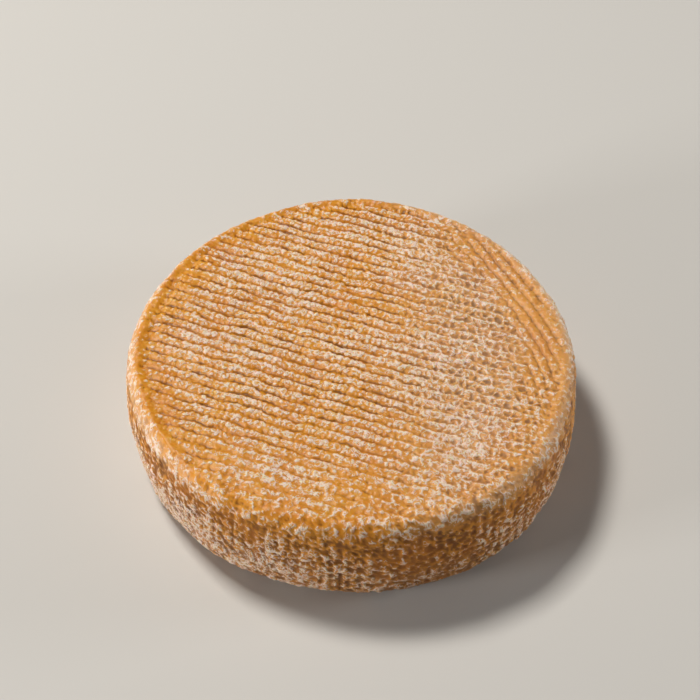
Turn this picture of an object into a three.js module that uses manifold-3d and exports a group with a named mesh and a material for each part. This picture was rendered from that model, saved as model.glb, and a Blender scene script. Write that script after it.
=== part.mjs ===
// A whole wheel of washed-rind mountain cheese, drained and turned on a woven mat.
// The top face keeps the mat's imprint: rounded cords side by side, crossed by a second set that
// is faint on the left and strong on the right. The rim is soft, the side bulges a little and is
// lumpy, and the underside is flat, so that the wheel rests on it.
// Units are millimetres, +Z is up, and the origin is the middle of the underside.
import * as THREE from "three";
import { mergeVertices } from "three/addons/utils/BufferGeometryUtils.js";
import Module from "manifold-3d";

// The whole wheel
const WHEEL_DIAMETER = 194;
const RADIUS = WHEEL_DIAMETER / 2;
const WHEEL_HEIGHT = 50;
const TOP_EDGE_WIDTH = 8; // the rounded top edge starts this far in from the side
const TOP_EDGE_DROP = 11; // and ends this far down it
const BOTTOM_EDGE_WIDTH = 9;
const BOTTOM_EDGE_RISE = 9;
const SIDE_BULGE = 1.3; // the side stands this much proud at half height
const TOP_TILT = 1.3; // the top stands this much higher on the left, and lower on the right
const TOP_DISH = 0.9; // the middle of the top has sunk by this much
const SIDE_LUMP_SWING = 0.9; // how far the side's slow lumps swing in and out
const SIDE_LUMP_LENGTH = 16; // around the wheel
const SIDE_LUMP_HEIGHT = 20;
const CALM_TOP_EDGE = 0.4; // share of those lumps that is left where the top edge meets the top
const TOP_LUMP_DEPTH = 0.8;
const TOP_LUMP_LENGTH = 22;
const TOP_LUMPS_AT_RIM = 0.2; // share of those lumps that is left at the rim

// The outline is not a true circle: each swell is a wave of some lobes around the rim.
const OUTLINE_SWELLS = [
  { lobes: 2, size: 0.75, turn: 168 },
  { lobes: 3, size: 0.7, turn: 76 },
  { lobes: 5, size: 0.35, turn: 20 },
  { lobes: 8, size: 0.2, turn: 140 },
];

// The mat's imprint on the top face. Angles are in plan, from +X towards +Y.
const CORD_PITCH = 5.0;
const CORD_ANGLE = -19;
const CROSS_PITCH = 4.7;
const CROSS_ANGLE = -61;
const CROSS_BEND_RADIUS = 150; // the crossing set bends towards the rim on the lower right
const CROSS_BEND_START = 12; // and starts to bend this far along itself
const IMPRINT_DEPTH = 1.5; // from a cord's crest to the groove beside it
const CORD_CUT_RIGHT = 0.6; // share of that depth left between the cords on the right
const CROSS_CUT_LEFT = 0.3; // share of that depth cut by the crossing set on the left
const CROSS_CUT_RIGHT = 0.8; // and on the right
const RIGHT_FROM = -0.2 * RADIUS; // the change from left to right begins at this x
const RIGHT_FULL = 0.7 * RADIUS; // and is complete here
const FRONT_FROM = 0.5 * RADIUS; // the cords grow faint this far in front of the middle
const FRONT_FULL = 0.85 * RADIUS; // and are faintest here
const FRONT_LOSS = 0.55; // share of the imprint's depth that is lost there
const BEAD_DEPTH = 0.5; // a crest is beaded: it is uneven by this much
const BEAD_LENGTH = 5;
const CREST_BELOW_RIM = 0.35; // the crests stay this much lower than the smooth rim
const IMPRINT_END = 0.87; // share of the outline's radius where the cords start to fade
const IMPRINT_GONE = 0.93; // and where they are gone
const CHANNEL_DEPTH = 1.1; // the shallow hollow between the cords' ends and the rim
const CHANNEL_AT = 0.9; // its middle, as a share of the outline's radius
const CHANNEL_WIDTH = 0.028; // its half width, as such a share
const CHANNEL_RIGHT = 0.35; // share of its depth on the right, from full depth on the left

// How finely the solid is divided
const OUTLINE_STEPS = 120;
const EDGE_STEPS = 4;
const SIDE_STEPS = 6;
const STEPS_IN_PITCH = 2; // a crest and a groove for each cord
const CORD_REACH = 106; // the imprint is made out to this far across the cords, past the rim
const CROSS_REACH = 146; // and across the crossing set, which bends
const SLAB_FLOOR = -20; // the imprinted slab reaches below the wheel
const CROSSING_TRIES = 12;
const SAME_POINT = 1e-4; // corners closer than this are one
const SLIVER = 0.03; // narrower faces than this are merged with their neighbours

const radians = THREE.MathUtils.degToRad;
const { lerp, smoothstep } = THREE.MathUtils;

// Cheese is uneven: a smooth random field of value 0 to 1, drawn again the same way each time.
// Each of its uses has a seed of its own.
const SIDE_SEED = 3;
const TOP_SEED = 5;
const BEAD_SEED = 11;

function randomAt(i, j, seed) {
  const s = Math.sin(i * 127.1 + j * 311.7 + seed * 74.7) * 43758.5453;
  return s - Math.floor(s);
}

function unevenness(x, y, seed) {
  const i = Math.floor(x);
  const j = Math.floor(y);
  const u = smoothstep(x - i, 0, 1);
  const v = smoothstep(y - j, 0, 1);
  const near = lerp(randomAt(i, j, seed), randomAt(i + 1, j, seed), u);
  const far = lerp(randomAt(i, j + 1, seed), randomAt(i + 1, j + 1, seed), u);
  return lerp(near, far, v);
}

// The outline's share of the radius at an angle around the wheel.
function outlineShare(angle) {
  let swell = 0;
  for (const { lobes, size, turn } of OUTLINE_SWELLS) {
    swell += size * Math.cos(lobes * (angle - radians(turn)));
  }
  return 1 + swell / RADIUS;
}

// The profile from the middle of the underside, out, up the side and in over the top edge to the
// middle of the top: radius, height, and how much of the lumps each point takes.
function wheelProfile() {
  const inner = RADIUS - SIDE_BULGE;
  const sideTop = WHEEL_HEIGHT - TOP_EDGE_DROP;
  const bottom = [];
  const top = [];
  for (let k = 0; k <= EDGE_STEPS; k++) {
    const a = ((Math.PI / 2) * k) / EDGE_STEPS;
    bottom.push({
      r: inner - BOTTOM_EDGE_WIDTH * (1 - Math.sin(a)),
      z: BOTTOM_EDGE_RISE * (1 - Math.cos(a)),
      lumps: k / EDGE_STEPS,
    });
    top.push({
      r: inner - TOP_EDGE_WIDTH * (1 - Math.cos(a)),
      z: sideTop + TOP_EDGE_DROP * Math.sin(a),
      lumps: lerp(1, CALM_TOP_EDGE, k / EDGE_STEPS),
    });
  }
  const side = [];
  for (let k = 1; k < SIDE_STEPS; k++) {
    const s = k / SIDE_STEPS;
    side.push({
      r: inner + SIDE_BULGE * Math.sin(Math.PI * s),
      z: lerp(BOTTOM_EDGE_RISE, sideTop, s),
      lumps: 1,
    });
  }
  return [...bottom, ...side, ...top];
}

// How much higher or lower the top stands at a point, for the tilt of the whole top.
function topLift(x) {
  return (-TOP_TILT * x) / RADIUS;
}

// The smooth body: the profile carried around the outline, with lumps, and closed by a middle
// point on each face.
function bodyGeometry() {
  const profile = wheelProfile();
  const positions = [];
  const index = [];
  for (const { r, z, lumps } of profile) {
    for (let n = 0; n < OUTLINE_STEPS; n++) {
      const angle = (2 * Math.PI * n) / OUTLINE_STEPS;
      const swing = unevenness(
        (RADIUS * Math.cos(angle)) / SIDE_LUMP_LENGTH + z / SIDE_LUMP_HEIGHT,
        (RADIUS * Math.sin(angle)) / SIDE_LUMP_LENGTH + z / SIDE_LUMP_HEIGHT,
        SIDE_SEED,
      );
      const radius = r * outlineShare(angle) + SIDE_LUMP_SWING * lumps * (swing - 0.5);
      const x = radius * Math.cos(angle);
      positions.push(x, radius * Math.sin(angle), z + (topLift(x) * z) / WHEEL_HEIGHT);
    }
  }
  const rows = profile.length;
  const undersideMiddle = rows * OUTLINE_STEPS;
  const topMiddle = undersideMiddle + 1;
  positions.push(0, 0, 0, 0, 0, WHEEL_HEIGHT);
  for (let n = 0; n < OUTLINE_STEPS; n++) {
    const next = (n + 1) % OUTLINE_STEPS;
    for (let row = 0; row < rows - 1; row++) {
      const a = row * OUTLINE_STEPS + n;
      const b = row * OUTLINE_STEPS + next;
      index.push(a, b, b + OUTLINE_STEPS, a, b + OUTLINE_STEPS, a + OUTLINE_STEPS);
    }
    index.push(undersideMiddle, next, n);
    const last = (rows - 1) * OUTLINE_STEPS;
    index.push(topMiddle, last + n, last + next);
  }
  return closedGeometry(positions, index);
}

// Directions in plan: along each set of cords, and across it.
const cordAlong = new THREE.Vector2(1, 0).rotateAround(new THREE.Vector2(), radians(CORD_ANGLE));
const cordAcross = new THREE.Vector2(-cordAlong.y, cordAlong.x);
const crossAlong = new THREE.Vector2(1, 0).rotateAround(new THREE.Vector2(), radians(CROSS_ANGLE));
const crossAcross = new THREE.Vector2(-crossAlong.y, crossAlong.x);

// Where the two sets cross: the point in plan that lies on cord number `cord` and on crossing
// cord number `cross`. The crossing set bends, so the point is found by stepping along the cord
// until it meets the crossing one.
function crossingPoint(cord, cross) {
  const start = cordAcross.clone().multiplyScalar(cord * CORD_PITCH);
  const point = start.clone();
  let along = 0;
  for (let n = 0; n < CROSSING_TRIES; n++) {
    const past = Math.max(0, point.dot(crossAlong) - CROSS_BEND_START);
    const bend = (past * past) / (2 * CROSS_BEND_RADIUS);
    const miss = point.dot(crossAcross) + bend - cross * CROSS_PITCH;
    const slope = past / CROSS_BEND_RADIUS;
    along -= miss / (cordAlong.dot(crossAcross) + slope * cordAlong.dot(crossAlong));
    point.copy(start).addScaledVector(cordAlong, along);
  }
  return point;
}

// The top face's height over a point. `groove` and `crossGroove` are 1 in a groove of the first
// and second set of cords, and 0 on a crest.
function topHeight(point, groove, crossGroove) {
  const angle = Math.atan2(point.y, point.x);
  const share = point.length() / (RADIUS * outlineShare(angle));
  const rightness = smoothstep(point.x, RIGHT_FROM, RIGHT_FULL);
  const frontness = smoothstep(-point.y, FRONT_FROM, FRONT_FULL);
  const fade = 1 - smoothstep(share, IMPRINT_END, IMPRINT_GONE);
  const strength = fade * lerp(1, 1 - FRONT_LOSS, frontness);
  const cordCut = groove * lerp(1, CORD_CUT_RIGHT, rightness);
  const crossCut = crossGroove * lerp(CROSS_CUT_LEFT, CROSS_CUT_RIGHT, rightness);
  const cut = IMPRINT_DEPTH * strength * (1 - (1 - cordCut) * (1 - crossCut));
  const beads = unevenness(point.x / BEAD_LENGTH, point.y / BEAD_LENGTH, BEAD_SEED);
  const bead = BEAD_DEPTH * strength * beads * (1 - groove);
  const ring = Math.exp(-(((share - CHANNEL_AT) / CHANNEL_WIDTH) ** 2));
  const channel = CHANNEL_DEPTH * ring * lerp(1, CHANNEL_RIGHT, rightness);
  const dish = TOP_DISH * (1 - Math.min(share, 1) ** 2);
  const lumps = unevenness(point.x / TOP_LUMP_LENGTH, point.y / TOP_LUMP_LENGTH, TOP_SEED);
  const lump = TOP_LUMP_DEPTH * lumps * lerp(1, TOP_LUMPS_AT_RIM, Math.min(share, 1) ** 4);
  const smoothTop = WHEEL_HEIGHT + topLift(point.x) - CREST_BELOW_RIM;
  return smoothTop - dish - lump - cut - bead - channel;
}

// A slab that reaches from far below the wheel up to the imprinted top. Its corners lie where the
// two sets of cords cross, so that each crest and groove of both sets has its own line of edges.
function imprintedSlabGeometry() {
  const cords = Math.ceil(CORD_REACH / CORD_PITCH) * STEPS_IN_PITCH;
  const crossings = Math.ceil(CROSS_REACH / CROSS_PITCH) * STEPS_IN_PITCH;
  const tops = [];
  const floors = [];
  const columns = 2 * crossings + 1;
  for (let j = -cords; j <= cords; j++) {
    for (let i = -crossings; i <= crossings; i++) {
      const point = crossingPoint(j / STEPS_IN_PITCH, i / STEPS_IN_PITCH);
      const z = topHeight(point, Math.abs(j % STEPS_IN_PITCH), Math.abs(i % STEPS_IN_PITCH));
      tops.push(point.x, point.y, z);
      floors.push(point.x, point.y, SLAB_FLOOR);
    }
  }
  const count = tops.length / 3;
  const index = [];
  const quad = (a, b, c, d) => index.push(a, b, c, a, c, d);
  for (let j = 0; j < 2 * cords; j++) {
    for (let i = 0; i < columns - 1; i++) {
      const a = j * columns + i;
      quad(a, a + 1, a + columns + 1, a + columns);
      quad(count + a, count + a + columns, count + a + columns + 1, count + a + 1);
    }
  }
  for (let i = 0; i < columns - 1; i++) {
    const far = 2 * cords * columns + i;
    quad(i + 1, i, count + i, count + i + 1);
    quad(far, far + 1, count + far + 1, count + far);
  }
  for (let j = 0; j < 2 * cords; j++) {
    const left = j * columns;
    const right = left + columns - 1;
    quad(left, left + columns, count + left + columns, count + left);
    quad(right + columns, right, count + right, count + right + columns);
  }
  return closedGeometry([...tops, ...floors], index);
}

// An indexed geometry with only its corners.
function closedGeometry(positions, index) {
  const geometry = new THREE.BufferGeometry();
  geometry.setAttribute("position", new THREE.Float32BufferAttribute(positions, 3));
  geometry.setIndex(index);
  return geometry;
}

const wasm = await Module();
wasm.setup();

function solidFrom(geometry) {
  const merged = mergeVertices(geometry, SAME_POINT);
  return new wasm.Manifold(
    new wasm.Mesh({
      numProp: 3,
      vertProperties: merged.attributes.position.array,
      triVerts: new Uint32Array(merged.index.array),
    }),
  );
}

function geometryFrom(solid) {
  const mesh = solid.getMesh();
  const corners = [];
  for (let n = 0; n < mesh.numVert; n++) {
    const at = n * mesh.numProp;
    corners.push(...mesh.vertProperties.subarray(at, at + 3));
  }
  return closedGeometry(corners, Array.from(mesh.triVerts));
}

// The wheel is what the smooth body and the imprinted slab have in common. Its swells and lumps
// push it a little to one side, so it is moved back until its whole width and depth are centred.
function cheeseWheel() {
  const solid = solidFrom(bodyGeometry()).intersect(solidFrom(imprintedSlabGeometry()));
  const geometry = geometryFrom(solid.simplify(SLIVER));
  geometry.computeBoundingBox();
  const middle = geometry.boundingBox.getCenter(new THREE.Vector3());
  geometry.translate(-middle.x, -middle.y, 0);
  geometry.computeVertexNormals();
  const rind = new THREE.MeshStandardMaterial({ color: 0xd3a06a, roughness: 0.75, metalness: 0 });
  const mesh = new THREE.Mesh(geometry, rind);
  mesh.name = "cheese_wheel";
  return mesh;
}

const wheel = new THREE.Group();
wheel.name = "mountain_cheese_wheel";
wheel.add(cheeseWheel());

export default wheel;
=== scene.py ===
"""A whole wheel of washed-rind mountain cheese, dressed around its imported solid.

The wheel was drained and turned on a woven mat, washed, and left to ripen. One closed mesh makes
its rind: the top keeps the mat's cords as beaded ridges, the side has the upright ribs of the
cloth in its hoop, and the underside has the mat's imprint pressed flat. Sizes are millimetres in
the classes and become metres when the mesh is made.
"""

import logging
import math
from dataclasses import dataclass, field
from enum import Enum, IntEnum
from itertools import product

import bpy
import numpy as np
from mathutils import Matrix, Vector
from mathutils.geometry import delaunay_2d_cdt


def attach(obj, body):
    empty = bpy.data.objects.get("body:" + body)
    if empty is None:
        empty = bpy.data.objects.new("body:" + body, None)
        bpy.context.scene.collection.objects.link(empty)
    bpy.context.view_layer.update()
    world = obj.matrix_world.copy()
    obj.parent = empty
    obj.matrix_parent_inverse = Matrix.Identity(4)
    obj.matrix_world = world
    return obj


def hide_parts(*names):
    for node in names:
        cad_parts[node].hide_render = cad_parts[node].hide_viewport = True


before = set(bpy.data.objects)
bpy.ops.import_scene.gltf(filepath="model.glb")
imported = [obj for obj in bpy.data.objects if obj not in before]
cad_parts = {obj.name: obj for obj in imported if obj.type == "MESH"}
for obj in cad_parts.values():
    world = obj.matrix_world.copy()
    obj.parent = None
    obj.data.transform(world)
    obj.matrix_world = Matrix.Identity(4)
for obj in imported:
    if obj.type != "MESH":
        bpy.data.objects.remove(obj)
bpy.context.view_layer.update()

Array = np.ndarray
Tree = bpy.types.NodeTree
Socket = bpy.types.NodeSocket

MM = 0.001
LOG = logging.getLogger("cheese")


def smoothstep(low: float, high: float, value: Array) -> Array:
    """Rises from 0 at low to 1 at high as 3t^2 - 2t^3, and stays there on both sides."""
    t = np.clip((value - low) / (high - low), 0.0, 1.0)
    return t * t * (3.0 - 2.0 * t)


def mix(a: Array, b: Array, share: Array) -> Array:
    """Goes from a to b in a straight line as share goes from 0 to 1."""
    return a + (b - a) * share


def smooth_min(a: Array, b: Array, blend: float) -> Array:
    """The lower of two heights, with the corner between them rounded.

    Args:
        a: The first height.
        b: The second height.
        blend: How far apart the two may be and still be rounded into each other.

    Returns:
        min(a, b) - h^2 * blend / 4, where h = max(0, 1 - |a - b| / blend).
    """
    near = np.maximum(0.0, 1.0 - np.abs(a - b) / blend)
    return np.minimum(a, b) - near * near * blend * 0.25


def linear(code: str) -> tuple[float, float, float, float]:
    """Turns an sRGB hex colour into Blender's linear one.

    Args:
        code: Six hex digits, such as "d3a06a".

    Returns:
        Red, green, blue and an alpha of 1.
    """
    parts = [int(code[n:n + 2], 16) / 255.0 for n in (0, 2, 4)]
    red, green, blue = (
        p / 12.92 if p <= 0.04045 else ((p + 0.055) / 1.055) ** 2.4 for p in parts
    )
    return red, green, blue, 1.0


class Seed(IntEnum):
    """The random fields by what they shape. One that shakes points uses the next three as well."""

    MAT_EDGE = 7
    PRESSURE = 8
    BEADS = 11
    CELL_SHAKE = 12
    SUNK = 13
    CELL_WALLS = 14
    WORN = 16
    CLOSED = 17
    KNOBS = 21
    RIMS = 22
    LUMPS = 23
    CRUMB_SHAKE = 24
    SWELLINGS = 25
    SLOW_WANDER = 31
    WANDER = 35
    QUICK_WANDER = 38
    CHANNEL = 41
    PATCHES = 51
    RIB_PLACES = 61
    RIB_WANDER = 62


@dataclass(frozen=True)
class RandomField:
    """Random numbers over space that are the same on every run."""

    seed: int

    def _at_corners(self, corners: Array, turn: int = 0) -> Array:
        """Mixes the whole-number corners into one number from 0 to 1 each.

        Args:
            corners: Corners of the unit grid, one row each.
            turn: Picks one of several independent numbers for the same corner.

        Returns:
            The corners times large primes, joined by exclusive or and stirred twice.
        """
        with np.errstate(over="ignore"):
            c = corners.astype(np.int64).astype(np.uint64)
            h = c[:, 0] * np.uint64(73856093) ^ c[:, 1] * np.uint64(19349663)
            h ^= c[:, 2] * np.uint64(83492791) ^ np.uint64(self.seed * 2654435761 + turn * 97531)
            h = (h ^ (h >> np.uint64(15))) * np.uint64(2246822519)
            h = (h ^ (h >> np.uint64(13))) * np.uint64(3266489917)
            h ^= h >> np.uint64(16)
        return (h & np.uint64(0xFFFFFF)).astype(float) / 0xFFFFFF

    def soft(self, points: Array, size: float) -> Array:
        """A smooth field with lumps about one size wide.

        Args:
            points: Places in space, one row of x, y and z each.
            size: The spacing of the random values.

        Returns:
            The values at the eight corners around each point, blended by 6t^5 - 15t^4 + 10t^3.
        """
        p = points / size
        base = np.floor(p)
        t = p - base
        w = t * t * t * (t * (t * 6.0 - 15.0) + 10.0)
        total = np.zeros(len(p))
        for corner in product((0, 1), repeat=3):
            share = np.prod(np.where(corner, w, 1.0 - w), axis=1)
            total += share * self._at_corners(base + corner)
        return total

    def rough(self, points: Array, size: float) -> Array:
        """Three soft fields added up, each half as wide and half as strong as the last.

        Args:
            points: Places in space, one row each.
            size: The width of the widest lumps.

        Returns:
            Their weighted mean, from 0 to 1.
        """
        shares = (1.0, 0.5, 0.25)
        total = sum(w * self.soft(points + 31.7 * n, w * size) for n, w in enumerate(shares))
        return total / sum(shares)

    def cells(self, points: Array, spread: float) -> tuple[Array, Array, Array]:
        """Distances to scattered seeds, one in each cell of the unit grid.

        Args:
            points: Places in units of the cells, one row each.
            spread: How far a seed may sit from its cell's middle, as a share of the cell.

        Returns:
            The distance to the nearest seed and to the second nearest, and a random number
            from 0 to 1 that belongs to the nearest.
        """
        base = np.floor(points)
        first = np.full(len(points), 9.0)
        second = first.copy()
        level = np.zeros(len(points))
        for step in product((-1, 0, 1), repeat=3):
            cell = base + step
            offset = np.stack([self._at_corners(cell, n + 1) for n in range(3)], axis=1)
            gap = np.linalg.norm(points - cell - 0.5 - (offset - 0.5) * spread, axis=1)
            closer = gap < first
            second = np.where(closer, first, np.minimum(second, gap))
            level = np.where(closer, self._at_corners(cell, 7), level)
            first = np.where(closer, gap, first)
        return first, second, level

    def knobs(self, points: Array, width: float) -> Array:
        """Round knobs of uneven height: (1 - 2.2 * distance^2) * (0.45 to 1), not below 0."""
        first, _, level = self.cells(points / width, 0.85)
        return np.maximum(0.0, 1.0 - 2.2 * first * first) * (0.45 + 0.55 * level)

    def cobbles(self, points: Array) -> Array:
        """Rounded lumps, one in each unit cell, with narrow gaps where two seeds are equally near.

        Args:
            points: Places in units of the cells, one row each.

        Returns:
            The gap between the two nearest distances, 0 to 0.55 eased into 0 to 1, times
            0.6 to 1 by lump.
        """
        first, second, level = self.cells(points, 0.7)
        return smoothstep(0.0, 0.55, second - first) * (0.6 + 0.4 * level)

    def rims(self, points: Array, width: float, thickness: float) -> Array:
        """Raised rims between hollows: 1 where two seeds are equally near, 0 past thickness."""
        first, second, _ = self.cells(points / width, 0.9)
        return 1.0 - smoothstep(0.0, thickness, second - first)

    def shaken(self, points: Array, size: float, reach: float) -> Array:
        """The points, each moved by up to half of reach by three soft fields."""
        moves = [RandomField(self.seed + n).soft(points, size) - 0.5 for n in (1, 2, 3)]
        return points + reach * np.stack(moves, axis=1)


def solid_unevenness(x: Array, y: Array, seed: int) -> Array:
    """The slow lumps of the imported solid, so that the rind follows it.

    Args:
        x: First coordinate, in lumps.
        y: Second coordinate, in lumps.
        seed: Which of the solid's fields.

    Returns:
        Random values at the four corners around each place, the fraction of a large sine,
        blended by 3t^2 - 2t^3.
    """
    i, j = np.floor(x), np.floor(y)
    u, v = smoothstep(0.0, 1.0, x - i), smoothstep(0.0, 1.0, y - j)

    def corner(a: Array, b: Array) -> Array:
        """The random value of one corner."""
        s = np.sin(a * 127.1 + b * 311.7 + seed * 74.7) * 43758.5453
        return s - np.floor(s)

    near = mix(corner(i, j), corner(i + 1, j), u)
    far = mix(corner(i, j + 1), corner(i + 1, j + 1), u)
    return mix(near, far, v)


@dataclass(frozen=True)
class WovenMat:
    """The mat under the draining wheel: cords side by side and a crossing set that bends."""

    cord_pitch: float = 5.0
    cord_angle: float = math.radians(-19.0)
    cross_pitch: float = 4.7
    cross_angle: float = math.radians(-61.0)
    bend_radius: float = 150.0
    bend_start: float = 12.0

    def _along(self, angle: float) -> Array:
        """The unit vector in plan at an angle from +X."""
        return np.array([math.cos(angle), math.sin(angle)])

    def _across(self, angle: float) -> Array:
        """The unit vector in plan at a right angle to that."""
        return np.array([-math.sin(angle), math.cos(angle)])

    def lattice(self, across: float, along: float, reach: float) -> Array:
        """Points in plan on lines that run with the cords.

        Args:
            across: The distance between two lines, as a share of the cords' pitch.
            along: The distance between two points of a line.
            reach: How far from the middle the points go.

        Returns:
            The points. Those of every second line are moved on by half a step.
        """
        lines = math.ceil(1.02 * reach / (self.cord_pitch * across))
        steps = math.ceil(reach / along)
        line, step = np.meshgrid(
            np.arange(-lines, lines + 1), np.arange(-steps, steps + 1), indexing="ij"
        )
        line, step = line.ravel(), step.ravel()
        point = np.outer(line * across * self.cord_pitch, self._across(self.cord_angle))
        point += np.outer((step + 0.5 * (line % 2)) * along, self._along(self.cord_angle))
        return point[np.hypot(point[:, 0], point[:, 1]) < reach]

    def along_of(self, points: Array) -> Array:
        """Each point's distance along the cords."""
        return points @ self._along(self.cord_angle)

    def cord_of(self, points: Array) -> Array:
        """Each point's place among the cords: its distance across them over their pitch."""
        return points @ self._across(self.cord_angle) / self.cord_pitch

    def cross_of(self, points: Array) -> Array:
        """Each point's place among the crossing cords.

        Args:
            points: Places in plan.

        Returns:
            A whole number on each cord: (across + past^2 / (2 * bend radius)) / pitch, where
            past is how far the point lies along them beyond the start of their bend.
        """
        past = np.maximum(0.0, points @ self._along(self.cross_angle) - self.bend_start)
        across = points @ self._across(self.cross_angle) + past**2 / (2 * self.bend_radius)
        return across / self.cross_pitch


@dataclass
class CheeseWheel:
    """The wheel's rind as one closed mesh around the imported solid.

    Its sizes are in millimetres, and the channel's place, width and wander in shares of the
    outline. A swell of the outline is its number of lobes, its size and the turn of its peak.
    """

    radius: float = 97.0
    height: float = 50.0
    top_edge_width: float = 8.0
    top_edge_drop: float = 11.0
    bottom_edge_width: float = 9.0
    bottom_edge_rise: float = 9.0
    edge_blend: float = 0.8
    side_bulge: float = 1.3
    side_lump_swing: float = 0.9
    side_lump_width: float = 16.0
    side_lump_rise: float = 20.0
    calm_top_edge: float = 0.4
    top_tilt: float = 1.3
    top_dish: float = 0.9
    top_sink: float = 0.35
    top_lump_swing: float = 0.8
    top_lump_width: float = 22.0
    channel_share: float = 0.9
    channel_width: float = 0.026
    channel_wander: float = 0.03
    channel_depth: float = 0.9
    swells: tuple = ((2, 0.75, 168.0), (3, 0.7, 76.0), (5, 0.35, 20.0), (8, 0.2, 140.0))
    # The middle of the outline's box in plan, which the part's frame puts at its origin.
    middle: tuple[float, float] = (-0.53, 0.77)
    imprint_depth: float = 0.87
    bead_width: float = 2.6
    bead_depth: float = 0.56
    cell_width: float = 3.3
    base_depth: float = 1.1
    base_pressed: float = 0.35
    knob_width: float = 2.3
    pit_width: float = 3.6
    swelling_width: float = 4.8
    lump_width: float = 7.0
    patch_width: float = 24.0
    rib_count: int = 132
    rib_depth: float = 0.5
    rib_foot: tuple[float, float] = (1.0, 12.0)
    rib_end: tuple[float, float] = (36.0, 47.0)
    columns: int = 640
    rows: int = 54
    # The two flat meshes: the distance between lines over the cords' pitch, the step along a
    # line, and the gap to the ring as a share of the outline.
    top_mesh: tuple[float, float, float] = (0.125, 0.73, 0.006)
    base_mesh: tuple[float, float, float] = (0.25, 2.2, 0.012)
    # Heights between which the imprint and film, the crumbs, and the mould become the top's.
    imprint_zone: tuple[float, float] = (40.0, 46.0)
    crumb_zone: tuple[float, float] = (42.0, 48.5)
    mould_zone: tuple[float, float] = (44.0, 48.0)
    mat: WovenMat = field(default_factory=WovenMat)

    def outline_share(self, angle: Array) -> Array:
        """The outline's radius as a share of the wheel's: 1 + the sum of its cosine swells."""
        swell = sum(
            size * np.cos(lobes * (angle - math.radians(turn))) for lobes, size, turn in self.swells
        )
        return 1.0 + swell / self.radius

    def profile(self) -> tuple[Array, Array, Array]:
        """The rounded section from the top's rim, out, down the side and in under the wheel.

        Returns:
            Radius, height and share of the lumps along it, at steps that are twice as long
            under the wheel. The edges are quarter ellipses and the side is half a sine wave,
            joined and then smoothed.
        """
        inner = self.radius - self.side_bulge
        side_top = self.height - self.top_edge_drop
        a = np.linspace(math.radians(70.0), 0.0, 60)
        s = np.linspace(1.0, 0.0, 120)[1:-1]
        b = np.linspace(math.pi / 2, math.radians(12.0), 60)
        r = np.concatenate([
            inner - self.top_edge_width * (1 - np.cos(a)),
            inner + self.side_bulge * np.sin(math.pi * s),
            inner - self.bottom_edge_width * (1 - np.sin(b)),
        ])
        z = np.concatenate([
            side_top + self.top_edge_drop * np.sin(a),
            mix(self.bottom_edge_rise, side_top, s),
            self.bottom_edge_rise * (1 - np.cos(b)),
        ])
        lumps = np.concatenate([
            mix(1.0, self.calm_top_edge, a / (math.pi / 2)), np.ones(len(s)), b / (math.pi / 2),
        ])
        run = np.concatenate([[0.0], np.cumsum(np.hypot(np.diff(r), np.diff(z)))])
        even = np.linspace(0.0, run[-1], 600)
        soften = np.hanning(41)
        soften /= soften.sum()
        bent = []
        for values in (r, z):
            dense = np.interp(even, run, values)
            padded = np.concatenate([
                2 * dense[0] - dense[20:0:-1], dense, 2 * dense[-1] - dense[-2:-22:-1],
            ])
            bent.append(np.convolve(padded, soften, mode="valid"))
        density = mix(0.5, 1.0, smoothstep(2.0, 7.0, bent[1]))
        used = np.concatenate([[0.0], np.cumsum(density[1:])])
        places = np.interp(np.linspace(0.0, used[-1], self.rows), used, even)
        return (
            np.interp(places, even, bent[0]),
            np.interp(places, even, bent[1]),
            np.interp(places, run, lumps),
        )

    def _place(self, plan: Array) -> tuple[Array, Array]:
        """The angle around the wheel of each point in plan, and its share of the outline there."""
        angle = np.arctan2(plan[:, 1], plan[:, 0])
        return angle, np.hypot(plan[:, 0], plan[:, 1]) / (self.radius * self.outline_share(angle))

    def _lift(self, x: Array) -> Array:
        """How much higher the top stands at x: the tilt times -x / radius."""
        return -self.top_tilt * x / self.radius

    def _side_swing(self, angle: Array, z: Array) -> Array:
        """The solid's slow lumps on the side.

        Args:
            angle: Angles around the wheel.
            z: Heights.

        Returns:
            How far each place stands out: the solid's field on a circle that climbs with z.
        """
        climb = z / self.side_lump_rise
        field_x = self.radius * np.cos(angle) / self.side_lump_width + climb
        field_y = self.radius * np.sin(angle) / self.side_lump_width + climb
        return self.side_lump_swing * (solid_unevenness(field_x, field_y, 3) - 0.5)

    def _rim_share(self, share: Array) -> Array:
        """How far past the start of the rounded top edge a share of the outline lies, 0 to 1."""
        inner = self.radius - self.side_bulge
        return np.clip((share * self.radius - inner) / self.top_edge_width + 1.0, 0.0, 0.999)

    def _edge_height(self, share: Array) -> Array:
        """The body's height under a share of its radius: flat, then a quarter ellipse down."""
        past = self._rim_share(share)
        return self.height - self.top_edge_drop * (1.0 - np.sqrt(1.0 - past * past))

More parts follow.
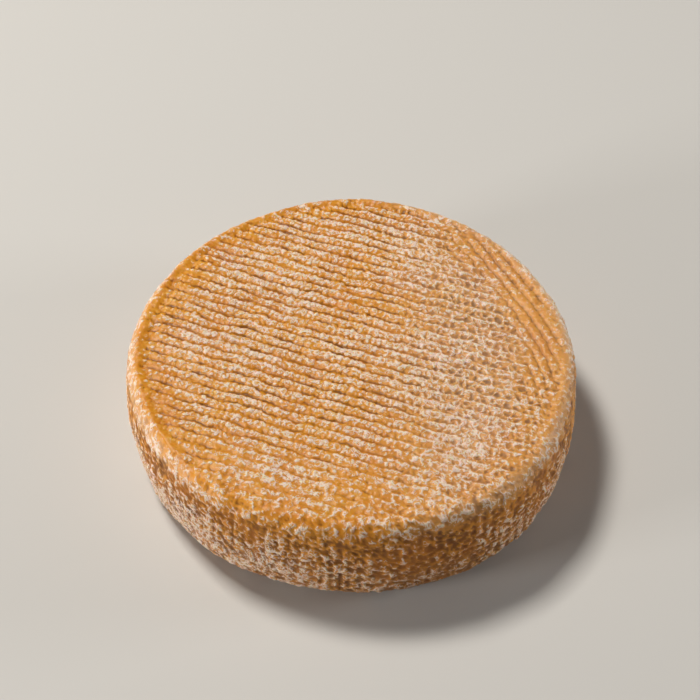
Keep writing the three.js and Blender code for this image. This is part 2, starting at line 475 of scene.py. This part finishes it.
    def _top_height(self, plan: Array, cut: Array) -> Array:
        """The top face's height: flat, less its dish, its lumps, the channel and the imprint.

        Args:
            plan: Points in plan.
            cut: How deep the mat's imprint is at each.

        Returns:
            The height of each point. The channel is a bell curve around its share of the
            outline, deepest at the back left, and as ragged as the edge of the mat that made it.
        """
        x, y = plan.T
        angle, share = self._place(plan)
        rightness = smoothstep(-0.2 * self.radius, 0.7 * self.radius, x)
        around = np.stack([np.cos(angle), np.sin(angle), 0 * angle], axis=1) * self.radius
        ragged = RandomField(Seed.CHANNEL).rough(around, 7.0)
        middle = share - self.channel_share - self.channel_wander * (ragged - 0.5)
        ring = np.exp(-((middle / self.channel_width) ** 2))
        frontness = smoothstep(0.3 * self.radius, 0.7 * self.radius, -y)
        channel = self.channel_depth * (0.2 + 1.2 * ragged) * ring * mix(1.0, 0.35, rightness)
        channel *= mix(1.0, 0.1, frontness)
        dish = self.top_dish * (1.0 - np.minimum(share, 1.0) ** 2)
        width = self.top_lump_width
        lumps = self.top_lump_swing * solid_unevenness(x / width, y / width, 5)
        lumps *= mix(1.0, 0.2, np.minimum(share, 1.0) ** 4)
        return self.height + self._lift(x) - self.top_sink - dish - lumps - channel - cut

    def _cord_height(self, cord: Array, space: Array, share: Array) -> Array:
        """The height of the ridge that a groove between two cords has left.

        Args:
            cord: Places among the cords.
            space: The same places in space.
            share: Each one's share of the outline.

        Returns:
            A share of the crest's height: a steep rise over the first 0.3 of the pitch, a long
            slope to the front down to about half, and a drop over the last 0.2. In patches and
            towards the rim the grooves are closed, so that nothing lies below half.
        """
        part = np.mod(0.25 - cord, 1.0)
        slope = 1.0 - 0.5 * np.clip((part - 0.25) / 0.75, 0.0, 1.0) ** 1.3
        ridge = smoothstep(0.0, 0.3, part) * slope * (1.0 - smoothstep(0.8, 1.0, part))
        closed = 1.0 - smoothstep(0.38, 0.66, RandomField(Seed.CLOSED).rough(space, 6.0))
        closed = np.maximum(closed, smoothstep(0.8, 0.92, share))
        return mix(ridge, np.maximum(ridge, 0.5), closed)

    def _imprint(self, plan: Array, mesh_plan: Array) -> tuple[Array, Array]:
        """The mat's imprint on the top face.

        Args:
            plan: Points in plan, after the cords' wander.
            mesh_plan: The same points before it, which say where they lie on the mat.

        Returns:
            How deep each point lies below the crests, and its height as a share of them. The
            cords leave ridges with beads on them, two rows to a cord. To the right these turn
            into thin crest lines, 1 - |sin(pi * place)|^0.9, with the walls of small cells
            between them, and in a band along that rim into the crossing cords' smooth ridges,
            1 - (1 - |cos(pi * place)|)^1.5.
        """
        x, y = plan.T
        space = np.stack([x, y, 0 * x], axis=1)
        share = self._place(plan)[1]
        rightness = smoothstep(-0.2 * self.radius, 0.7 * self.radius, x)
        frontness = smoothstep(0.25 * self.radius, 0.85 * self.radius, -y)
        band = smoothstep(0.68, 0.84, share) * smoothstep(0.3, 0.75, x / self.radius)
        band *= smoothstep(-0.35, 0.05, y / self.radius)
        ends = 0.12 * (RandomField(Seed.MAT_EDGE).rough(space, 6.0) - 0.5)
        strength = mix(1.0, 0.42 + 0.35 * rightness, frontness)
        strength *= 1 - smoothstep(0.88, 0.97, share + ends)
        strength *= 0.7 + 0.6 * RandomField(Seed.PRESSURE).rough(space, 16.0)
        cord = self.mat.cord_of(mesh_plan)
        ridge = self._cord_height(cord, space, share)
        shaken = RandomField(Seed.CELL_SHAKE).shaken(space, 3.0, 1.2)
        halfway = shaken + [0, 0, 0.5 * self.cell_width]
        wall = RandomField(Seed.CELL_WALLS).rims(halfway, self.cell_width, 0.4)
        line = 1.0 - np.abs(np.sin(math.pi * cord)) ** 0.9
        ridge = mix(ridge, np.maximum(line, 0.8 * wall), 0.85 * rightness)
        cross_ridge = 1 - (1 - np.abs(np.cos(math.pi * self.mat.cross_of(mesh_plan)))) ** 1.5
        cut = 1 - (1 - mix(1.0, 0.2, band) * (1 - ridge)) * (
            1 - mix(mix(0.05, 0.25, rightness), 0.95, band) * (1 - cross_ridge)
        )
        row = 2.0 * cord + 0.5
        along = self.mat.along_of(shaken[:, :2]) / self.bead_width
        bead = RandomField(Seed.BEADS).cobbles(np.stack([along, row, 0 * row + 0.5], axis=1))
        gap = (1 - bead) * mix(1.0, 0.4 + 0.25 * band, rightness)
        sunk = RandomField(Seed.SUNK).rough(space, 9.0)
        worn = 0.2 + 1.6 * RandomField(Seed.WORN).rough(space, 5.0)
        deep = mix(worn, 1.35 + 0.25 * band, rightness)
        depth = self.imprint_depth * deep * (0.6 + 0.8 * sunk) * cut
        depth += self.bead_depth * gap * mix(0.25, 1.0, ridge) + 0.5 * (sunk - 0.5)
        # Towards the right the share is lower, which draws the paste darker there: painted shade.
        crest = np.clip(mix(1.05 - 0.85 * cut, 0.85 - 0.8 * cut, rightness) - 0.5 * gap, 0, 1)
        crest = mix(crest, 0.16 + 0.52 * crest, band)
        # At the front of the top the flat parts get a higher share, which draws the paste lighter
        # and tan there: painted light.
        flat_crest_and_front_light = 0.42 + 0.14 * frontness * (1 - smoothstep(0.88, 0.95, share))
        return strength * depth, mix(flat_crest_and_front_light, crest, strength)

    def _crumb(self, space: Array, share: Array) -> tuple[Array, Array]:
        """The rind's own crumbly grain, which lies over every face.

        Args:
            space: Places in space.
            share: Each one's share of the outline.

        Returns:
            How far each place stands proud, and how much of that is fine relief. It is the sum
            of knobs, pits with raised rims, swellings and slow lumps, each with its own strength
            on the top, at its front, along its rim and on the side.
        """
        on_top = smoothstep(*self.crumb_zone, space[:, 2])
        front = smoothstep(0.45, 0.8, -space[:, 1] / self.radius) * on_top
        rim = smoothstep(0.84, 0.93, share) * on_top
        curled = RandomField(Seed.CRUMB_SHAKE).shaken(space, 2.6, 1.8)
        knobs = RandomField(Seed.KNOBS).knobs(curled, self.knob_width) - 0.35
        rims = RandomField(Seed.RIMS).rims(curled, self.pit_width, 0.34) - 0.4
        swellings = RandomField(Seed.SWELLINGS).knobs(curled, self.swelling_width) - 0.4
        side = 1.0 - on_top
        fine = knobs * (0.1 * on_top + 0.42 * np.maximum(0.55 * front, rim) + 0.4 * side)
        fine += rims * (0.05 * on_top + 0.12 * front + 0.2 * rim + 0.5 * side)
        fine += swellings * (0.05 * on_top + 0.2 * front + 0.15 * rim + 0.45 * side)
        lumps = RandomField(Seed.LUMPS).rough(space, self.lump_width) - 0.5
        return fine + mix(0.5, 1.0, front) * lumps, fine

    def _top_points(self, first_ring: float) -> tuple[Array, Array, Array, Array]:
        """The top face's points inside the first ring.

        Args:
            first_ring: The ring's radius as a share of the outline's.

        Returns:
            Places in plan as shares of the outline, places in space, outward directions and
            each point's height as a share of the relief. Three fields of random moves make the
            cords wander, less and less towards the ring.
        """
        across, along, gap = self.top_mesh
        plan = self.mat.lattice(across, along, 1.02 * self.radius)
        angle, share = self._place(plan)
        kept = share < first_ring - gap
        plan, angle, share = plan[kept], angle[kept], share[kept]
        flat = np.column_stack([plan, 0 * share])
        wander = RandomField(Seed.SLOW_WANDER).shaken(flat, 15.0, 1.3) - flat
        wander += RandomField(Seed.WANDER).shaken(flat, 5.5, 1.2) - flat
        wander += RandomField(Seed.QUICK_WANDER).shaken(flat, 2.4, 0.7) - flat
        moved = plan + wander[:, :2] * (1 - smoothstep(0.86, first_ring, share))[:, None]
        depth, crest = self._imprint(moved, plan)
        edge = self._edge_height(share) + self._lift(plan[:, 0])
        z = smooth_min(self._top_height(moved, depth), edge, self.edge_blend)
        swing = self._side_swing(angle, np.full(len(z), self.height))
        out = 0.5 * swing * smoothstep(0.6, first_ring, share)
        around = np.stack([np.cos(angle), np.sin(angle)], axis=1)
        space = np.column_stack([moved + out[:, None] * around, z])
        past = self._rim_share(share)
        up = np.sqrt(1 - past * past) / self.top_edge_drop
        normal = np.column_stack([around * (past / self.top_edge_width)[:, None], up])
        even = share[:, None] * around
        return even, space, normal / np.linalg.norm(normal, axis=1)[:, None], crest

    def _ring_points(self) -> tuple[Array, Array, Array, float, float]:
        """The rings from the top's rim over the edge, down the side and in under the wheel.

        Returns:
            Places in space, outward directions and heights as a share of the relief, ring by
            ring, and the first and last rings' shares of the outline. A rib is
            |cos(count * angle / 2 + wander)|^0.8, where the wander is a soft field and a slight
            lean with the height. The ribs show in patches between the two edges.
        """
        r, z, lumps = self.profile()
        angle = np.linspace(0, 2 * math.pi, self.columns, endpoint=False)
        slope = np.stack([np.gradient(r), np.gradient(z)], axis=1)
        slope /= np.linalg.norm(slope, axis=1)[:, None]
        r_grid, angle_grid = np.meshgrid(r, angle, indexing="ij")
        z_grid, lumps_grid = (np.repeat(a[:, None], self.columns, axis=1) for a in (z, lumps))
        swing = self._side_swing(angle_grid, z_grid)
        radius = r_grid * self.outline_share(angle_grid) + swing * lumps_grid
        around = np.stack([np.cos(angle_grid), np.sin(angle_grid)], axis=-1)
        plan = (radius[..., None] * around).reshape(-1, 2)
        height = z_grid.ravel() + self._lift(plan[:, 0]) * z_grid.ravel() / self.height
        depth, top_crest = self._imprint(plan, plan)
        over = smoothstep(*self.imprint_zone, z_grid).ravel()
        height = smooth_min(self._top_height(plan, depth * over), height, self.edge_blend)
        out = np.repeat(-slope[:, 1:2], self.columns, axis=1)[..., None] * around
        up = np.repeat(slope[:, 0:1], self.columns, axis=1)
        normal = np.column_stack([out.reshape(-1, 2), up.ravel()])
        space = np.column_stack([plan, height])
        wander = 3.0 * RandomField(Seed.RIB_WANDER).soft(space, 13.0) + 0.012 * z_grid.ravel()
        rib = np.abs(np.cos(self.rib_count * angle_grid.ravel() / 2 + wander)) ** 0.8
        upright = smoothstep(*self.rib_foot, z_grid) * (1 - smoothstep(*self.rib_end, z_grid))
        shown = smoothstep(0.2, 0.65, RandomField(Seed.RIB_PLACES).rough(space, 12.0))
        upright = upright.ravel() * shown
        space += normal * (self.rib_depth * (rib - 1) * upright)[:, None]
        # Low shares on the side give it the darker paste, partly a browner paste and partly painted
        # shade of the side below the lit top.
        crest = mix(0.14, 0.02 + 0.26 * rib, upright)
        crest = mix(crest, top_crest, over)
        return space, normal, crest, r[0] / self.radius, r[-1] / self.radius

    def _base_points(self, last_ring: float) -> tuple[Array, Array, Array, Array]:
        """The underside's points inside the last ring.

        Args:
            last_ring: The ring's radius as a share of the outline's.

        Returns:
            The same as for the top. The wheel's weight has pressed the crests flat at height 0,
            so a groove rises by the base's depth times the part of its cut that isn't pressed.
        """
        across, along, gap = self.base_mesh
        plan = self.mat.lattice(across, along, 1.02 * self.radius)
        cord, cross = self.mat.cord_of(plan), self.mat.cross_of(plan)
        plan = plan * np.array([1.0, -1.0])
        angle, share = self._place(plan)
        kept = share < last_ring - gap
        plan, cord, cross, angle, share = (a[kept] for a in (plan, cord, cross, angle, share))
        ridge = np.abs(np.cos(math.pi * cord)) ** 0.8
        cross_ridge = np.abs(np.cos(math.pi * cross)) ** 0.8
        cut = 1 - ridge * mix(1.0, cross_ridge, 0.5)
        strength = 1 - smoothstep(last_ring - 0.1, last_ring - 0.03, share)
        risen = np.maximum(0.0, cut - self.base_pressed) / (1 - self.base_pressed)
        around = np.stack([np.cos(angle), np.sin(angle)], axis=1)
        space = np.column_stack([plan, self.base_depth * strength * risen])
        normal = np.tile([0.0, 0.0, -1.0], (len(plan), 1))
        # Deeper cuts get lower shares and so the dark paste: partly a darker paste, partly painted
        # shade in the grooves.
        return share[:, None] * around, space, normal, mix(0.7, 1 - 0.8 * cut, strength)

    def _cap(self, inside: Array, ring: float, first: int, ring_first: int) -> Array:
        """Joins the points inside a ring to each other and to the ring.

        Args:
            inside: Places of the inner points in plan, as shares of the outline.
            ring: The ring's radius as such a share.
            first: The number of the first inner point.
            ring_first: The number of the ring's first point.

        Returns:
            Triangles, seen anticlockwise from above: the Delaunay triangulation in plan.
        """
        angle = np.linspace(0, 2 * math.pi, self.columns, endpoint=False)
        rim = ring * np.stack([np.cos(angle), np.sin(angle)], axis=1)
        corners = np.concatenate([inside, rim])
        result = delaunay_2d_cdt([Vector(c) for c in corners.tolist()], [], [], 0, 1e-7, False)
        triangles = np.array(result[2])
        a, b, c = (corners[triangles[:, n]] for n in range(3))
        turn = (b[:, 0] - a[:, 0]) * (c[:, 1] - a[:, 1]) - (b[:, 1] - a[:, 1]) * (c[:, 0] - a[:, 0])
        triangles[turn < 0] = triangles[turn < 0][:, ::-1]
        count = len(inside)
        return np.where(triangles < count, triangles + first, triangles - count + ring_first)

    def _bloom(self, space: Array, share: Array) -> Array:
        """How much white mould grows at each place.

        Args:
            space: Places in space.
            share: Each one's share of the outline.

        Returns:
            A number from 0 to 1, uneven by slow patches. On the top it is higher on the right
            and on the left lip, and lower towards the rim and in the band of smooth ridges. On
            the side, where the relief is lower, it is high, most of all at the foot and left.
        """
        x, y = space[:, 0] / self.radius, space[:, 1] / self.radius
        patches = RandomField(Seed.PATCHES).rough(space, self.patch_width) - 0.5
        rightness = smoothstep(0.3, 0.8, x)
        calm = np.maximum(rightness, smoothstep(0.4, 0.85, np.abs(y)))
        band = smoothstep(0.7, 0.8, share) * (1 - smoothstep(0.92, 0.96, share))
        band *= rightness * smoothstep(-0.35, 0.05, y)
        top = 0.43 - mix(0.36, 0.12, calm) * smoothstep(0.72, 0.9, share) - 0.15 * band
        top += 0.45 * smoothstep(0.92, 0.95, share) * (1 - calm)
        top += 0.16 * smoothstep(0.0, 0.5, x)
        nearer = 1 - smoothstep(-0.2, 0.2, y)
        top -= 0.1 * rightness * nearer * smoothstep(0.84, 0.94, share)
        side = 0.76 - 0.3 * smoothstep(24.0, 44.0, space[:, 2])
        side += 0.16 * smoothstep(0.1, 0.6, -x)
        on_top = smoothstep(*self.mould_zone, space[:, 2])
        return np.clip(mix(side + 0.7 * patches, top + 0.45 * patches, on_top), 0.0, 1.0)

    def _film(self, space: Array, share: Array) -> Array:
        """How much an even film of dry mould pales each place.

        Args:
            space: Places in space.
            share: Each one's share of the outline.

        Returns:
            A share from 0 to 1: highest on the lip around the top, but not at its front or near
            right, less over the top's right, and a trace at its front and low on the side.
        """
        x, y = space[:, 0] / self.radius, space[:, 1] / self.radius
        on_top = smoothstep(*self.imprint_zone, space[:, 2])
        right = smoothstep(0.0, 0.55, x)
        front = smoothstep(0.4, 0.8, -y)
        ridges = smoothstep(0.7, 0.8, share) * (1 - smoothstep(0.9, 0.95, share))
        lip = smoothstep(0.93, 0.97, share) * (1 - front)
        farther = smoothstep(-0.2, 0.2, y)
        lip *= mix(1.0, farther, right)
        top = 0.22 * right * (1 - 0.4 * ridges) + 0.3 * lip + 0.02 * front
        top += 0.12 * right * farther * smoothstep(0.9, 0.96, share)
        low = 0.08 * (1 - smoothstep(10.0, 30.0, space[:, 2]))
        return mix(low, top, on_top)

    def build(self) -> bpy.types.Object:
        """Makes the rind's mesh.

        Returns:
            One closed piece at the origin, with point attributes for its material: "crest",
            a place's height as a share of the relief around it, "bloom", how much of the white
            mould covers that part of the wheel, and "film", how much an even film pales it.
        """
        ring_space, ring_normal, ring_crest, first_ring, last_ring = self._ring_points()
        top_even, top_space, top_normal, top_crest = self._top_points(first_ring)
        base_even, base_space, base_normal, base_crest = self._base_points(last_ring)
        space = np.concatenate([top_space, ring_space, base_space])
        normal = np.concatenate([top_normal, ring_normal, base_normal])
        crest = np.concatenate([top_crest, ring_crest, base_crest])
        share = self._place(space[:, :2])[1]
        proud, fine = self._crumb(space, share)
        bloom, film = self._bloom(space, share), self._film(space, share)
        space = space + normal * (proud * smoothstep(0.5, 6.0, space[:, 2]))[:, None]
        space[:, 2] = np.maximum(space[:, 2], 0.0)
        on_top = smoothstep(*self.crumb_zone, space[:, 2])
        # The crumbs' knobs raise the share and their pits lower it, so the pits get the darker
        # paste, partly as painted shade.
        crest = np.clip(crest + mix(0.55, 0.75, on_top) * fine, 0.0, 1.0)
        top_count, ring_count = len(top_space), len(ring_space)
        ring = top_count + np.arange(ring_count).reshape(-1, self.columns)
        after = np.roll(ring, -1, axis=1)
        quads = np.stack([ring[:-1], ring[1:], after[1:], after[:-1]], axis=-1).reshape(-1, 4)
        top = self._cap(top_even, first_ring, 0, top_count)
        base_first = top_count + ring_count
        base = self._cap(base_even, last_ring, base_first, base_first - self.columns)[:, ::-1]
        space[:, :2] -= np.array(self.middle)
        mesh = bpy.data.meshes.new("cheese_wheel_rind")
        mesh.from_pydata(space * MM, [], top.tolist() + quads.tolist() + base.tolist())
        for name, values in (("crest", crest), ("bloom", bloom), ("film", film)):
            layer = mesh.attributes.new(name, "FLOAT", "POINT")
            layer.data.foreach_set("value", values.astype(np.float32))
        mesh.shade_smooth()
        piece = bpy.data.objects.new("cheese_wheel_rind", mesh)
        bpy.context.scene.collection.objects.link(piece)
        triangles = len(top) + 2 * len(quads) + len(base)
        LOG.info("rind: %d points, %d triangles", len(space), triangles)
        return piece


# The colour sockets of a Mix node, which share their names with others and go by number.
MIX_FROM, MIX_TO, MIX_RESULT = 6, 7, 2


def add_node(
    tree: Tree, kind: str, settings: dict, links: dict | None = None, output: int | str = 0
) -> Socket | None:
    """Adds a shader node.

    Args:
        tree: The node tree it goes into.
        kind: The node's type name after "ShaderNode", such as "Mix".
        settings: Its properties by name, and values of its inputs by name or number.
        links: The output that each input, by name or number, is fed from.
        output: Which of its outputs is wanted, by name or number.

    Returns:
        That output, or None from a node that has none.
    """
    node = tree.nodes.new("ShaderNode" + kind)
    for name, value in settings.items():
        if isinstance(name, int) or name in node.inputs:
            node.inputs[name].default_value = value
        else:
            setattr(node, name, value)
    for name, source in (links or {}).items():
        tree.links.new(source, node.inputs[name])
    return node.outputs[output] if node.outputs else None


@dataclass(frozen=True)
class WashedRind:
    """The rind of a cheese that was rubbed with brine: a moist orange paste under white mould.

    The paste gives the eye a waxy orange, drawn darkest in the grooves and hollows, partly as a
    darker paste and partly as painted shade, and the dry mould lies on it as crinkled pinkish
    threads and flecks, thickest on the crests and low on the side.
    """

    # The darkest paste, given where the height share is low: partly a darker paste in the grooves
    # and hollows, partly painted shade there.
    groove: str = "804a0c"
    hollow: str = "d58c22"
    crest: str = "e3aa4c"
    ruddy: str = "c67822"
    mould: str = "dfc7a9"
    strand: str = "eedccc"
    ruddy_mm: float = 17.0
    shake_mm: float = 2.4
    shake_reach_mm: float = 1.6
    thread_mm: float = 2.8
    thread_width: float = 0.062
    curl_mm: float = 3.4
    curl_radius: float = 0.42
    curl_slope: float = 0.38
    fleck_mm: float = 2.0
    crest_cover: float = 1.5
    # Where the cover starts to show as a bed and as threads, where it is full, and its most.
    bed_cover: tuple[float, float, float] = (1.8, 2.4, 0.55)
    thread_cover: tuple[float, float, float] = (1.42, 1.78, 0.95)
    grain_mm: float = 1.1
    fleck_relief: float = 0.3
    grain_relief: float = 0.7
    relief_mm: float = 0.22
    softness_mm: float = 1.1
    roughness: float = 0.4
    dryness: float = 0.3

    def _paste(self, tree: Tree, place: Socket, crest: Socket) -> Socket:
        """Adds the paste: dark in the grooves, partly a darker paste and partly painted shade,
        orange in the hollows and tan on the crests.

        Args:
            tree: The material's nodes.
            place: Object coordinates.
            crest: The height as a share of the relief.

        Returns:
            Its colour, which is ruddier in wide patches.
        """
        # Low shares turn the paste to the groove colour: painted shade in the grooves and hollows,
        # besides their darker paste.
        low, high = (
            add_node(
                tree, "MapRange",
                {"interpolation_type": "SMOOTHSTEP", "From Min": start, "From Max": full},
                {0: crest},
            )
            for start, full in ((0.0, 0.34), (0.3, 0.95))
        )
        wide = add_node(
            tree, "TexNoise", {"Scale": 1 / (self.ruddy_mm * MM), "Detail": 3.0}, {"Vector": place}
        )
        warm = add_node(
            tree, "MapRange", {"From Min": 0.42, "From Max": 0.7, "To Max": 0.55}, {0: wide}
        )
        colour = add_node(
            tree, "Mix",
            {"data_type": "RGBA", MIX_FROM: linear(self.groove), MIX_TO: linear(self.hollow)},
            {0: low}, MIX_RESULT,
        )
        for layer, share in ((self.crest, high), (self.ruddy, warm)):
            colour = add_node(
                tree, "Mix", {"data_type": "RGBA", MIX_TO: linear(layer)},
                {0: share, MIX_FROM: colour}, MIX_RESULT,
            )
        return colour

    def _threads(self, tree: Tree, place: Socket) -> Socket:
        """Adds the threads: lines where one of two noises passes its middle, and small rings.

        Real ones are finer than a pixel, so these are as coarse as they need to show: 0.35 mm.

        Args:
            tree: The material's nodes.
            place: Object coordinates. A third noise shakes them, so that the lines curl.

        Returns:
            1 in the middle of a thread and 0 beside it.
        """
        shake = add_node(
            tree, "TexNoise", {"Scale": 1 / (self.shake_mm * MM), "Detail": 1.0},
            {"Vector": place}, "Color",
        )
        curled = add_node(
            tree, "VectorMath",
            {"operation": "MULTIPLY_ADD", 1: (self.shake_reach_mm * MM,) * 3},
            {0: shake, 2: place},
        )
        crinkle = add_node(
            tree, "TexNoise", {"Scale": 1 / (self.thread_mm * MM), "Detail": 1.5},
            {"Vector": curled}, "Color",
        )
        from_middle = add_node(
            tree, "VectorMath", {"operation": "SUBTRACT", 1: (0.5, 0.5, 0.5)}, {0: crinkle}
        )
        from_middle = add_node(tree, "VectorMath", {"operation": "ABSOLUTE"}, {0: from_middle})
        part = add_node(tree, "SeparateXYZ", {}, {0: from_middle})
        nearest = add_node(
            tree, "Math", {"operation": "MINIMUM"}, {0: part, 1: part.node.outputs["Y"]}
        )
        from_ring = add_node(
            tree, "TexVoronoi", {"feature": "F1", "Scale": 1 / (self.curl_mm * MM)},
            {"Vector": curled},
        )
        for operation, amount in (
            ("SUBTRACT", self.curl_radius), ("ABSOLUTE", 0.0), ("MULTIPLY", self.curl_slope),
        ):
            from_ring = add_node(tree, "Math", {"operation": operation, 1: amount}, {0: from_ring})
        nearest = add_node(tree, "Math", {"operation": "MINIMUM"}, {0: nearest, 1: from_ring})
        return add_node(
            tree, "MapRange",
            {
                "interpolation_type": "SMOOTHSTEP", "From Max": self.thread_width,
                "To Min": 1.0, "To Max": 0.0,
            },
            {0: nearest},
        )

    def material(self) -> bpy.types.Material:
        """Makes the material, in patterns on Object coordinates and the piece's attributes.

        Returns:
            The paste under the film, the bed of flecks and the threads.
        """
        made = bpy.data.materials.new("washed rind with white mould")
        made.use_nodes = True
        tree = made.node_tree
        tree.nodes.clear()
        place = add_node(tree, "TexCoord", {}, output="Object")
        crest, bloom, film = (
            add_node(tree, "Attribute", {"attribute_name": name}, output="Fac")
            for name in ("crest", "bloom", "film")
        )
        thread = self._threads(tree, place)

        # A film of dry mould pales the paste evenly, a soft bed of flecks lies where the crest
        # and the bloom are high, and the crisp threads reach over a wider part.
        fleck, grain = (
            add_node(tree, "TexNoise", {"Scale": 1 / (width * MM), "Detail": 1.0}, {"Vector": place})
            for width in (self.fleck_mm, self.grain_mm)
        )
        cover = add_node(
            tree, "Math", {"operation": "MULTIPLY_ADD", 1: self.crest_cover}, {0: crest, 2: bloom}
        )
        cover = add_node(tree, "Math", {"operation": "ADD"}, {0: fleck, 1: cover})
        bed, reached = (
            add_node(
                tree, "MapRange",
                {
                    "interpolation_type": "SMOOTHSTEP", "From Min": start, "From Max": full,
                    "To Max": most,
                },
                {0: cover},
            )
            for start, full, most in (self.bed_cover, self.thread_cover)
        )
        strand = add_node(tree, "Math", {"operation": "MULTIPLY"}, {0: thread, 1: reached})
        colour = self._paste(tree, place, crest)
        for layer, share in ((self.mould, film), (self.mould, bed), (self.strand, strand)):
            colour = add_node(
                tree, "Mix", {"data_type": "RGBA", MIX_TO: linear(layer)},
                {0: share, MIX_FROM: colour}, MIX_RESULT,
            )
        mould = add_node(tree, "Math", {"operation": "MAXIMUM"}, {0: bed, 1: strand})

        # Relief finer than the mesh: the threads stand proud, with flecks and a grain on all.
        # The real grain is too fine to show, so it is drawn as coarse as it needs to be.
        proud = strand
        for height, pattern in ((self.fleck_relief, fleck), (self.grain_relief, grain)):
            proud = add_node(
                tree, "Math", {"operation": "MULTIPLY_ADD", 1: height}, {0: pattern, 2: proud}
            )
        relief = add_node(
            tree, "Bump", {"Strength": 1.0, "Distance": self.relief_mm * MM}, {"Height": proud}
        )
        dry = add_node(
            tree, "Math", {"operation": "MULTIPLY_ADD", 1: self.dryness, 2: self.roughness},
            {0: mould},
        )
        surface = add_node(
            tree, "BsdfPrincipled",
            {
                "Subsurface Weight": 0.4, "Subsurface Scale": self.softness_mm * MM,
                "Subsurface Radius": (1.0, 0.5, 0.2), "IOR": 1.45, "Specular IOR Level": 0.3,
            },
            {"Base Color": colour, "Roughness": dry, "Normal": relief},
        )
        add_node(tree, "OutputMaterial", {}, {"Surface": surface})
        return made


@dataclass(frozen=True)
class StudioPaper:
    """Pale matte paper, which gives the wheel a plain ground with a soft shadow."""

    colour: str = "cdcac5"
    roughness: float = 0.9

    def material(self) -> bpy.types.Material:
        """Makes the material.

        Returns:
            One dull colour with hardly any gloss.
        """
        made = bpy.data.materials.new("pale studio paper")
        made.use_nodes = True
        surface = made.node_tree.nodes["Principled BSDF"]
        surface.inputs["Base Color"].default_value = linear(self.colour)
        surface.inputs["Roughness"].default_value = self.roughness
        return made


class Softbox(Enum):
    """The lamps: place in metres, width in metres, power in watts and colour."""

    KEY = ((-0.7, 0.65, 1.76), 0.4, 34.5, (1.0, 0.97, 0.92))
    LEFT = ((-1.5, -0.6, 0.3), 0.4, 15.0, (1.0, 1.0, 1.0))
    RIGHT = ((1.4, 0.1, 0.3), 0.4, 7.5, (1.0, 1.0, 1.0))


@dataclass
class Studio:
    """The pale floor, the lamps and the light from all round."""

    floor_width: float = 6.0
    aim: tuple[float, float, float] = (0.0, 0.0, 0.03)
    sky: str = "f2f1ef"
    sky_strength: float = 0.08

    def build(self) -> bpy.types.Object:
        """Makes the floor, the lamps and the world.

        Returns:
            The floor, a flat square just under the wheel.
        """
        half = self.floor_width / 2
        mesh = bpy.data.meshes.new("studio_floor")
        corners = [(-half, -half, 0.0), (half, -half, 0.0), (half, half, 0.0), (-half, half, 0.0)]
        mesh.from_pydata(corners, [], [(0, 1, 2, 3)])
        floor = bpy.data.objects.new("studio_floor", mesh)
        mesh.materials.append(StudioPaper().material())
        bpy.context.scene.collection.objects.link(floor)
        for box in Softbox:
            place, width, power, colour = box.value
            lamp = bpy.data.lights.new(box.name.lower(), "AREA")
            lamp.size = width
            lamp.energy = power
            lamp.color = colour
            holder = bpy.data.objects.new(box.name.lower(), lamp)
            holder.location = place
            towards = Vector(self.aim) - Vector(place)
            holder.rotation_euler = towards.to_track_quat("-Z", "Y").to_euler()
            bpy.context.scene.collection.objects.link(holder)
        world = bpy.data.worlds.new("studio")
        world.use_nodes = True
        background = world.node_tree.nodes["Background"]
        background.inputs["Color"].default_value = linear(self.sky)
        background.inputs["Strength"].default_value = self.sky_strength
        bpy.context.scene.world = world
        bpy.context.scene.view_settings.view_transform = "Standard"
        return floor


@dataclass
class StudioCamera:
    """The camera, where the photograph's view was worked out to be taken from."""

    place: tuple[float, float, float] = (-0.00073, -0.41542, 0.53836)
    elevation: float = math.radians(49.775)
    lens_mm: float = 77.14
    sensor_mm: float = 36.0

    def build(self) -> None:
        """Makes the camera, tilted down by its elevation, and sets it as the scene's."""
        data = bpy.data.cameras.new("camera")
        data.lens = self.lens_mm
        data.sensor_width = self.sensor_mm
        camera = bpy.data.objects.new("camera", data)
        camera.location = self.place
        camera.rotation_euler = (math.pi / 2 - self.elevation, 0.0, 0.0)
        bpy.context.scene.collection.objects.link(camera)
        bpy.context.scene.camera = camera


def main() -> None:
    """Builds the camera, the studio and the wheel, in that order."""
    logging.basicConfig(level=logging.INFO, format="%(name)s: %(message)s")
    StudioCamera().build()
    Studio().build()
    wheel = CheeseWheel().build()
    wheel.data.materials.append(WashedRind().material())
    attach(wheel, "root")
    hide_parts("cheese_wheel")
    LOG.info("dressed %s", wheel.name)


if __name__ == "__main__":
    main()
